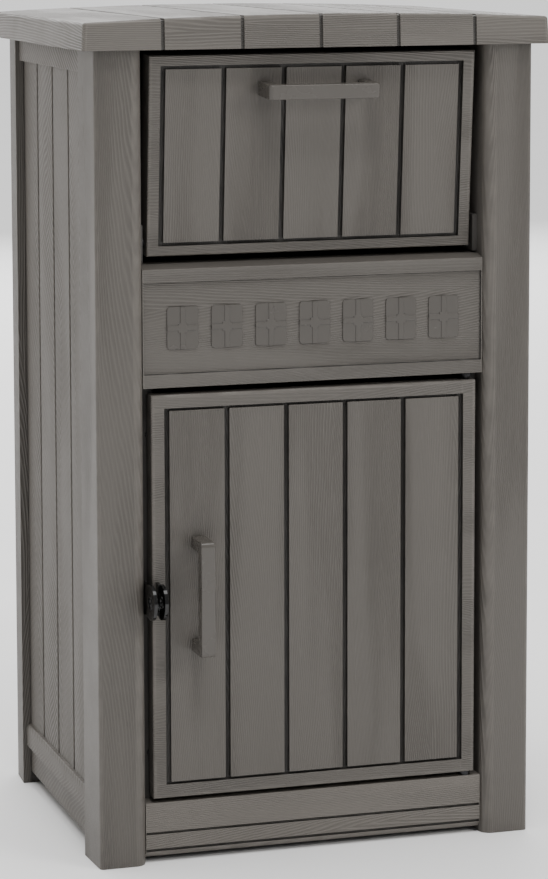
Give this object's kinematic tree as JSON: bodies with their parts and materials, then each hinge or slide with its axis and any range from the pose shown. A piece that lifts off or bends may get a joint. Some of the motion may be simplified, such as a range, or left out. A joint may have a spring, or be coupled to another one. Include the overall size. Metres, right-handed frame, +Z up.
{
  "type": "parcel drop box",
  "caption": "Free-standing wood-effect resin parcel box with a planked fixed lid, a tilting drop door and hopper, and a padlockable planked door.",
  "frame": {"origin": "on the ground, at the middle of the overall outline seen from above", "axes": "+Z up, +Y towards the back, so the doors and handles face -Y; +X to the right seen from the front"},
  "size_m": [0.572, 0.474, 1],
  "materials": {
    "resin": "embossed wood grain, taupe grey",
    "resin_panel": "embossed wood grain, taupe grey",
    "resin_handle": "smooth satin",
    "resin_inner": "plain moulded",
    "black_gloss": "gloss black",
    "rubber": "matt",
    "steel": "zinc plated"
  },
  "bodies": {
    "cabinet": {"front_left_post": "resin", "front_right_post": "resin", "rear_left_post": "resin", "rear_right_post": "resin", "left_side_panel": "resin_panel", "right_side_panel": "resin_panel", "rear_panel": "resin_panel", "floor_panel": "resin_inner", "lid": "resin_panel", "lid_corner_blocks": "resin_inner", "lid_screws": "steel", "header_rail": "resin", "name_panel": "resin", "bottom_rail": "resin", "left_jamb": "resin_inner", "right_jamb": "resin_inner", "jamb_screws": "steel", "door_bumpers": "rubber", "left_pivot_bracket": "resin_inner", "right_pivot_bracket": "resin_inner", "pivot_bracket_screws": "steel", "upper_hinge_pin": "steel", "lower_hinge_pin": "steel", "frame_padlock_ear": "black_gloss", "frame_ear_screws": "steel"},
    "parcel_door": {"door_panel": "resin", "door_liner": "resin_inner", "door_liner_screws": "steel", "door_handle": "resin_handle", "door_handle_screws": "steel", "door_padlock_ear": "black_gloss", "door_ear_screws": "steel"},
    "drop_door": {"drop_door_panel": "resin", "drop_door_liner": "resin_inner", "drop_door_liner_screws": "steel", "drop_door_handle": "resin_handle", "drop_handle_screws": "steel", "hopper_tray": "resin_inner", "hopper_left_cheek": "resin_inner", "hopper_right_cheek": "resin_inner", "drop_door_pivot_pins": "steel"}
  },
  "joints": [
    {"name": "parcel_door_swing", "type": "hinge", "parent": "cabinet", "child": "parcel_door", "pos_m": [0.193, -0.1835, 0.319], "axis": [0, 0, 1], "range_deg": [0, 110]},
    {"name": "drop_door_tilt", "type": "hinge", "parent": "cabinet", "child": "drop_door", "pos_m": [0, -0.155, 0.7343], "axis": [1, 0, 0], "range_deg": [0, 50]}
  ]
}
